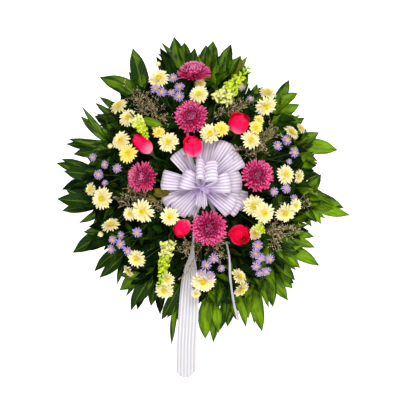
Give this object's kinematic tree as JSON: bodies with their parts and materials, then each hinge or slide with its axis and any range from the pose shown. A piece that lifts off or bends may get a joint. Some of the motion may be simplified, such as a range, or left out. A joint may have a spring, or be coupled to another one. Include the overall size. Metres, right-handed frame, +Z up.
{
  "type": "memorial wreath",
  "caption": "Round hanging memorial wreath: foam in a wall tray, leafy collar, mixed chrysanthemums, roses and fillers, and a striped ribbon bow with two tails.",
  "frame": {"origin": "the inside of the hanging ring's top, where the wreath bears on a hook", "axes": "+X to the right as the wreath is seen, +Z up, and -Y towards the viewer, so +Y runs into the wall behind the tray"},
  "size_m": [0.74, 0.2477, 0.8565],
  "materials": {
    "mum_petals": "magenta incurved petals, lighter pink at the tips",
    "rose_petals": "velvety hot pink and crimson petals with green sepals",
    "cream_petals": "cream petals round a yellow eye, green stems",
    "aster_petals": "fine lavender petals round a golden eye, green stems",
    "snapdragon_florets": "yellow-green florets and buds, paler at the foot",
    "sea_lavender_twigs": "dry wiry twigs with small papery buds",
    "leaves": "glossy green leaves with fine lengthwise veins",
    "ribbon": "white woven ribbon with lavender stripes along it",
    "pick_wood": "plain split wood",
    "tray_plastic": "moulded green plastic, satin",
    "floral_foam": "crumbly green foam, matt",
    "ring_steel": "bright drawn wire"
  },
  "bodies": {
    "root": {"aster_spray_foot": "aster_petals", "aster_spray_left": "aster_petals", "aster_spray_left_lower": "aster_petals", "aster_spray_right": "aster_petals", "aster_spray_right_lower": "aster_petals", "aster_spray_right_upper": "aster_petals", "aster_spray_top": "aster_petals", "aster_spray_top_right": "aster_petals", "bow_pick": "pick_wood", "branch_foot": "leaves", "branch_foot_left": "leaves", "branch_foot_right": "leaves", "branch_left": "leaves", "branch_left_lower": "leaves", "branch_left_upper": "leaves", "branch_right": "leaves", "branch_right_lower": "leaves", "branch_right_middle": "leaves", "branch_right_upper": "leaves", "branch_top": "leaves", "branch_top_right": "leaves", "cream_spray_bow": "cream_petals", "cream_spray_foot": "cream_petals", "cream_spray_foot_left": "cream_petals", "cream_spray_foot_right": "cream_petals", "cream_spray_left": "cream_petals", "cream_spray_left_inner": "cream_petals", "cream_spray_left_lower": "cream_petals", "cream_spray_left_outer": "cream_petals", "cream_spray_right": "cream_petals", "cream_spray_right_lower": "cream_petals", "cream_spray_right_upper": "cream_petals", "cream_spray_top": "cream_petals", "cream_spray_top_left": "cream_petals", "foam_block": "floral_foam", "foam_tray": "tray_plastic", "hanging_ring": "ring_steel", "mum_left": "mum_petals", "mum_lower": "mum_petals", "mum_right": "mum_petals", "mum_top": "mum_petals", "mum_upper": "mum_petals", "ribbon_bow": "ribbon", "ribbon_tail_left": "ribbon", "ribbon_tail_right": "ribbon", "rose_bow": "rose_petals", "rose_left": "rose_petals", "rose_lower_left": "rose_petals", "rose_lower_right": "rose_petals", "rose_upper_right": "rose_petals", "sea_lavender_foot": "sea_lavender_twigs", "sea_lavender_lower_left": "sea_lavender_twigs", "sea_lavender_right": "sea_lavender_twigs", "sea_lavender_right_lower": "sea_lavender_twigs", "sea_lavender_upper_left": "sea_lavender_twigs", "sea_lavender_upper_right": "sea_lavender_twigs", "snapdragon_foot_left": "snapdragon_florets", "snapdragon_left": "snapdragon_florets", "snapdragon_right": "snapdragon_florets", "snapdragon_top_right": "snapdragon_florets"}
  },
  "joints": []
}
